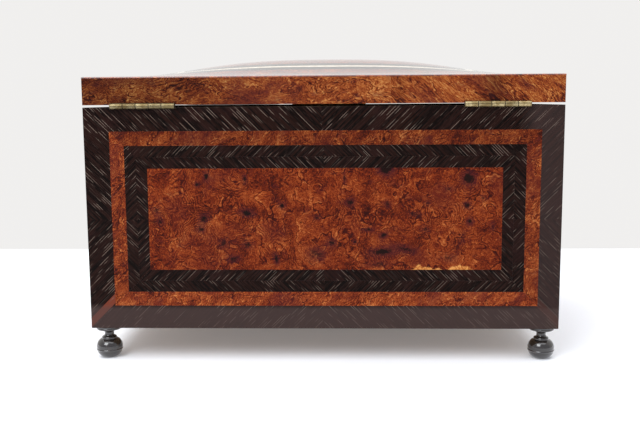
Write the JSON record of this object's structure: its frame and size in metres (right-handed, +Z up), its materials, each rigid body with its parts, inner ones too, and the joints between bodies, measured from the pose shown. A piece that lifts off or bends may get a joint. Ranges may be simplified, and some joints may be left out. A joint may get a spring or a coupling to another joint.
{
  "type": "veneered wooden casket",
  "caption": "Rectangular wooden casket with burl and dark herringbone marquetry, a pillow-domed lid on brass butt hinges, a front lock and turned ball feet.",
  "frame": {"origin": "bottom centre of the closed casket's bounding box, on the surface that its feet stand on", "axes": "+Z up, the front with the keyhole looks along -Y, the hinges are at +Y, X runs along the long faces"},
  "size_m": [0.295, 0.2136, 0.1927],
  "materials": {
    "brass": "aged, satin",
    "ebonised_wood": "black lacquer, glossy",
    "silk_velvet": "short pile",
    "lining_wood": "thin mahogany, satin",
    "pale_stringing": "holly, french polished",
    "dark_banding": "palisander, french polished, herringbone",
    "thuya_burl": "thuya burl, french polished",
    "carcase_wood": "plain mahogany, oiled"
  },
  "bodies": {
    "box": {"base_pad": "silk_velvet", "body_hinge_screws": "brass", "bottom_board": "carcase_wood", "foot_front_left": "ebonised_wood", "foot_front_right": "ebonised_wood", "foot_rear_left": "ebonised_wood", "foot_rear_right": "ebonised_wood", "front_burl_band": "thuya_burl", "front_centre_panel": "thuya_burl", "front_inner_band": "dark_banding", "front_outer_band": "dark_banding", "front_wall": "carcase_wood", "hinge_left_body_leaf": "brass", "hinge_left_pin": "brass", "hinge_right_body_leaf": "brass", "hinge_right_pin": "brass", "keyhole_escutcheon": "brass", "left_burl_band": "thuya_burl", "left_centre_panel": "thuya_burl", "left_inner_band": "dark_banding", "left_outer_band": "dark_banding", "left_wall": "carcase_wood", "lock_case": "brass", "lock_cover": "brass", "lock_screws": "brass", "lock_spring": "brass", "rear_burl_band": "thuya_burl", "rear_centre_panel": "thuya_burl", "rear_inner_band": "dark_banding", "rear_outer_band": "dark_banding", "rear_wall": "carcase_wood", "right_burl_band": "thuya_burl", "right_centre_panel": "thuya_burl", "right_inner_band": "dark_banding", "right_outer_band": "dark_banding", "right_wall": "carcase_wood", "wall_linings": "lining_wood"},
    "lid": {"hinge_left_lid_leaf": "brass", "hinge_right_lid_leaf": "brass", "lid_edge_veneer_front": "thuya_burl", "lid_edge_veneer_left": "thuya_burl", "lid_edge_veneer_rear": "thuya_burl", "lid_edge_veneer_right": "thuya_burl", "lid_front_rail": "carcase_wood", "lid_hinge_screws": "brass", "lid_left_rail": "carcase_wood", "lid_pad": "silk_velvet", "lid_rear_rail": "carcase_wood", "lid_right_rail": "carcase_wood", "lid_top_board": "carcase_wood", "strike_plate": "brass", "strike_screws": "brass", "top_border": "thuya_burl", "top_centre_field": "thuya_burl", "top_inner_band": "dark_banding", "top_outer_band": "dark_banding", "top_stringing": "pale_stringing"},
    "lock_bolt": {"lock_bolt": "brass"}
  },
  "joints": [
    {"name": "lid_hinge", "type": "hinge", "parent": "box", "child": "lid", "pos_m": [0, 0.10495, 0.1608], "axis": [-1, 0, 0], "range_deg": [0, 184]},
    {"name": "bolt_throw", "type": "slide", "parent": "box", "child": "lock_bolt", "axis": [1, 0, 0], "range_m": [0, 0.0045]}
  ]
}
